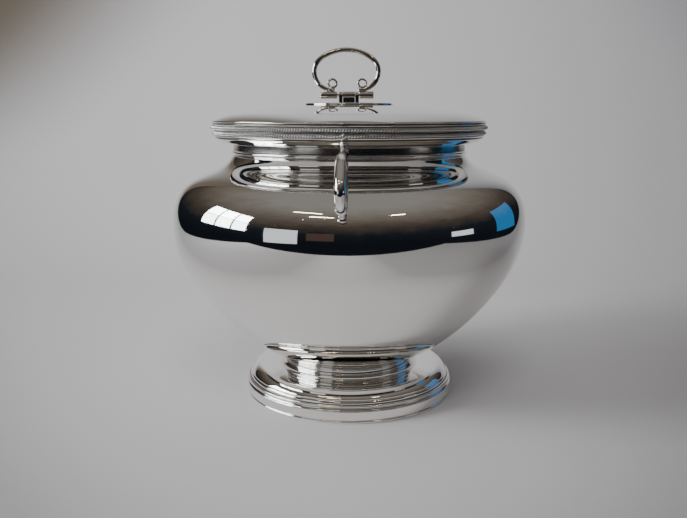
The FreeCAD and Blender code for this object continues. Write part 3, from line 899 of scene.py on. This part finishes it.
lampValues = {
    # name: (place, aimed at, width, height, watts, colour, seen in the silver)
    "paneLowOne": ((-1.10, -0.46, 0.28), (-0.1, -0.46, 0.24), 0.24, 0.26, 1.3, (0.80, 0.90, 1.0), True),
    "paneLowTwo": ((-1.10, -0.19, 0.28), (-0.1, -0.19, 0.24), 0.24, 0.26, 1.5, (0.88, 0.94, 1.0), True),
    "paneLowThree": ((-1.10, 0.08, 0.28), (-0.1, 0.08, 0.24), 0.24, 0.26, 1.3, (0.84, 0.92, 1.0), True),
    "paneTopOne": ((-1.10, -0.46, 0.56), (-0.1, -0.46, 0.5), 0.24, 0.26, 2.0, (0.92, 0.96, 1.0), True),
    "paneTopTwo": ((-1.10, -0.19, 0.56), (-0.1, -0.19, 0.5), 0.24, 0.26, 2.2, (0.95, 0.98, 1.0), True),
    "paneTopThree": ((-1.10, 0.08, 0.56), (-0.1, 0.08, 0.5), 0.24, 0.26, 2.0, (0.92, 0.96, 1.0), True),
    "windowSoft": ((-0.72, -0.24, 0.38), (0, 0.02, 0.0), 0.26, 0.22, 5.0, (0.98, 0.98, 1.0), False),
    "ceilingSoft": ((0.0, 0.0, 1.30), (0, 0.1, 0), 1.2, 1.0, 2.7, (0.98, 0.98, 1.0), False),
    "backSoft": ((0.05, -0.75, 1.05), (0.02, 0.52, 0.20), 0.6, 0.4, 4.9, (0.98, 0.98, 1.0), False),
    "warmStrip": ((-0.42, -0.72, 1.02), (0, 0, 0.06), 0.34, 0.016, 0.34, (1.0, 0.80, 0.50), True),
    "warmStripLow": ((-0.30, -0.95, 0.92), (0, 0, 0.06), 0.30, 0.014, 0.30, (1.0, 0.90, 0.72), True),
    "warmStripRight": ((0.52, -0.66, 0.86), (0, 0, 0.06), 0.16, 0.014, 0.16, (1.0, 0.82, 0.52), True),
    "paleCloth": ((-0.44, -0.56, 0.10), (0, 0, 0.065), 0.26, 0.22, 0.15, (0.90, 0.95, 1.0), True),
    "paleBag": ((0.60, -0.20, 0.07), (0, 0, 0.065), 0.18, 0.06, 0.030, (0.92, 0.94, 1.0), True),
    "blueBag": ((0.50, 0.20, 0.13), (0, 0, 0.07), 0.22, 0.22, 0.070, (0.03, 0.34, 0.85), True),
    "brownCase": ((-0.16, -0.62, 0.10), (0, 0, 0.07), 0.18, 0.11, 0.006, (0.60, 0.30, 0.22), True),
}


def makeLamps():
    for name, (spot, aim, width, height, watts, colour, seen) in lampValues.items():
        light = bpy.data.lights.new(name, "AREA")
        light.shape = "RECTANGLE"
        light.size = width
        light.size_y = height
        light.energy = watts
        light.color = colour
        lamp = bpy.data.objects.new(name, light)
        lamp.location = spot
        lamp.rotation_euler = (Vector(aim) - Vector(spot)).to_track_quat("-Z", "Y").to_euler()
        lamp.visible_glossy = seen
        bpy.context.scene.collection.objects.link(lamp)


makeLamps()

roomValues = {
    "seen": (0.42, 0.43, 0.45),         # behind the paper, where the camera looks past it
    "bands": [                          # height of the direction, colour of the room there
        (0.46, (0.006, 0.008, 0.011)),
        (0.56, (0.010, 0.013, 0.018)),
        (0.68, (0.060, 0.048, 0.038)),
        (0.82, (0.150, 0.132, 0.112)),
        (0.95, (0.230, 0.220, 0.205)),
    ],
}


def makeRoom():
    world = bpy.data.worlds.new("room")
    bpy.context.scene.world = world
    world.use_nodes = True
    tree = world.node_tree
    w = Wiring(tree)
    background = tree.nodes["Background"]
    coords = w.node("ShaderNodeTexCoord")
    apart = w.node("ShaderNodeSeparateXYZ")
    w.link(coords.outputs["Generated"], apart.inputs[0])
    clutter = w.noise(coords.outputs["Generated"], 4.0, 4.0, 0.65)
    height = w.math("ADD", apart.outputs[2], w.math("MULTIPLY", w.math("SUBTRACT", clutter, 0.5), 0.30))
    height = w.math("ADD", w.math("MULTIPLY", height, 0.5), 0.5)
    rampNode = w.node("ShaderNodeValToRGB")
    w.link(height, rampNode.inputs[0])
    ramp = rampNode.color_ramp
    bands = roomValues["bands"]
    ramp.elements[0].position = bands[0][0]
    ramp.elements[0].color = (*bands[0][1], 1)
    ramp.elements[1].position = bands[-1][0]
    ramp.elements[1].color = (*bands[-1][1], 1)
    for position, colour in bands[1:-1]:
        ramp.elements.new(position).color = (*colour, 1)
    rays = w.node("ShaderNodeLightPath")
    choice = w.node("ShaderNodeMix", data_type="RGBA")
    w.link(rays.outputs["Is Camera Ray"], choice.inputs["Factor"])
    w.link(rampNode.outputs[0], choice.inputs["A"])
    choice.inputs["B"].default_value = (*roomValues["seen"], 1)
    w.link(choice.outputs["Result"], background.inputs["Color"])


makeRoom()

cameraValues = {
    "distance": 0.2671,
    "side": -0.00193,
    "height": 0.0994,
    "pitch": 10.95,
    "azimuth": 2.3,
    "lens": 39.3,
}


def makeCamera():
    values = cameraValues
    data = bpy.data.cameras.new("camera")
    data.lens = values["lens"]
    data.sensor_width = 36.0
    data.clip_start = 0.01
    camera = bpy.data.objects.new("camera", data)
    turn = math.radians(values["azimuth"])
    camera.location = (
        values["side"] * math.cos(turn) + values["distance"] * math.sin(turn),
        values["side"] * math.sin(turn) - values["distance"] * math.cos(turn),
        values["height"],
    )
    camera.rotation_euler = (math.radians(90 - values["pitch"]), 0, turn)
    bpy.context.scene.collection.objects.link(camera)
    bpy.context.scene.camera = camera


makeCamera()
print("stage, lamps and camera done")
